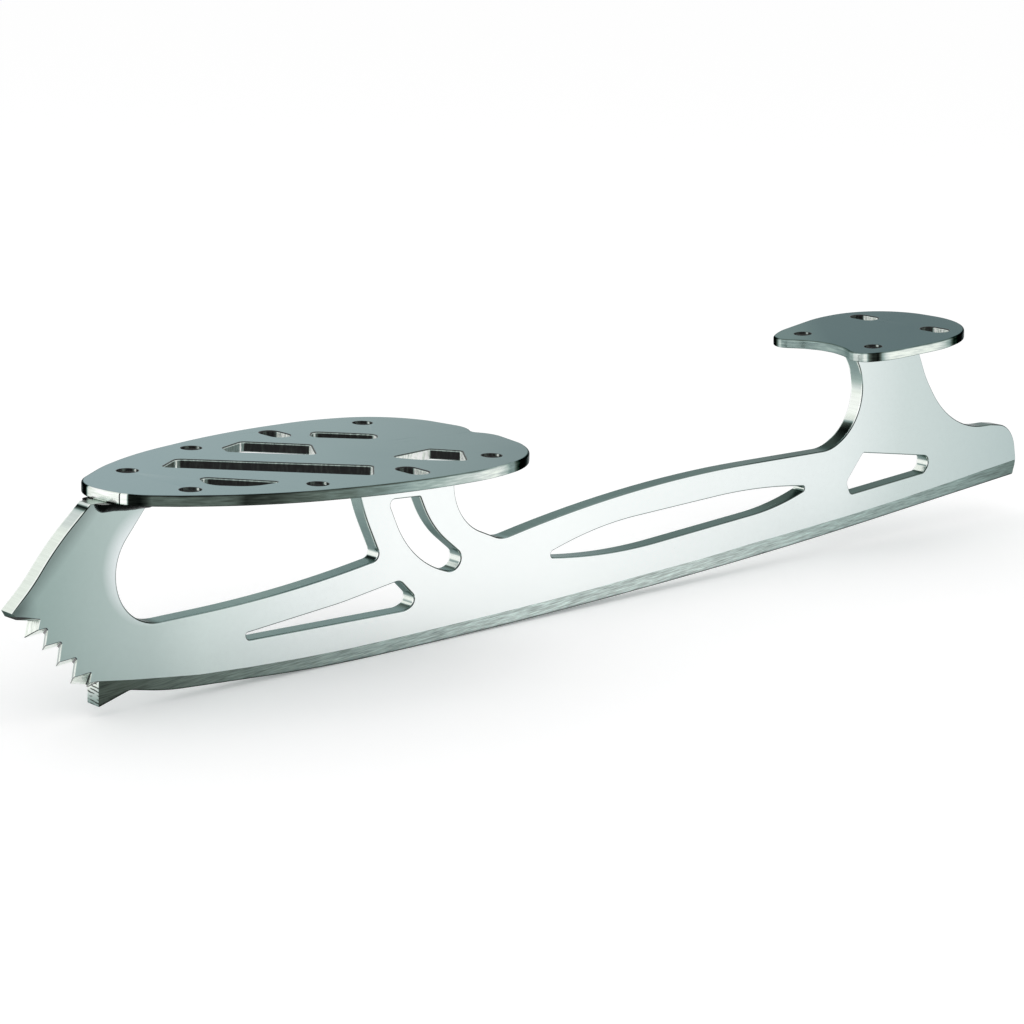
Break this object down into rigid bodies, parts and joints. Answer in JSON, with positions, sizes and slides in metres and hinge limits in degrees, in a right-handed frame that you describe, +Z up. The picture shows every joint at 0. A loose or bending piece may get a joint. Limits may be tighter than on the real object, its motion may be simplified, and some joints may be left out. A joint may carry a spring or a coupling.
{
  "type": "figure skate blade",
  "caption": "Polished steel figure skate blade with a saw-toothed toe pick, a runner cut out between its posts, and sole and heel plates with screw holes.",
  "frame": {"origin": "on the runner's middle plane, at the front end of the sole plate's top face", "axes": "+X forward towards the toe pick, +Y to the blade's left, +Z up away from the ice"},
  "size_m": [0.3129, 0.06, 0.0565],
  "materials": {
    "runner": "bright chrome with a satin ground band along the lower edge",
    "plates": "bright chrome",
    "braze": "glossy braze metal under the plating"
  },
  "bodies": {
    "root": {"runner": "runner", "sole_plate": "plates", "heel_plate": "plates", "braze_front_left": "braze", "braze_front_right": "braze", "braze_middle_left": "braze", "braze_middle_right": "braze", "braze_heel_left": "braze", "braze_heel_right": "braze"}
  },
  "joints": []
}
